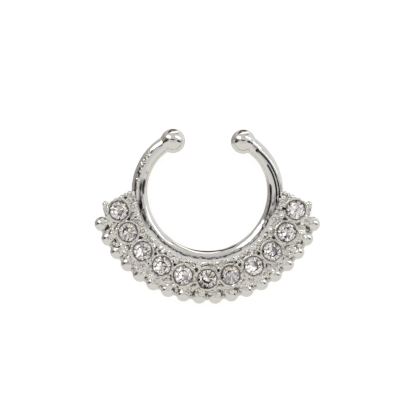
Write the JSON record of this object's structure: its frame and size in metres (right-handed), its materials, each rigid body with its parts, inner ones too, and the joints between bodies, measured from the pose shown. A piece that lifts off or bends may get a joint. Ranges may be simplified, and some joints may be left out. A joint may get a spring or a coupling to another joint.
{
  "type": "septum ring",
  "caption": "Clip-on septum ring: an open wire hoop with ball ends and a stone-set crescent edged with beads.",
  "frame": {"origin": "centre of the box's base: the ring lies on its back on the plane Z = 0", "axes": "+Z out of the jewelled front, +Y from the crescent toward the gap between the balls, +X to the right as the front is seen"},
  "size_m": [0.0188, 0.0146, 0.002],
  "materials": {
    "plated_metal": "bright rhodium-coloured plating over a cast surface",
    "crystal": "clear cut crystal with a foiled back"
  },
  "bodies": {
    "root": {"cast_frame": "plated_metal", "stone_1": "crystal", "stone_2": "crystal", "stone_3": "crystal", "stone_4": "crystal", "stone_5": "crystal", "stone_6": "crystal", "stone_7": "crystal", "stone_8": "crystal", "stone_9": "crystal", "stone_10": "crystal", "stone_11": "crystal"}
  },
  "joints": []
}
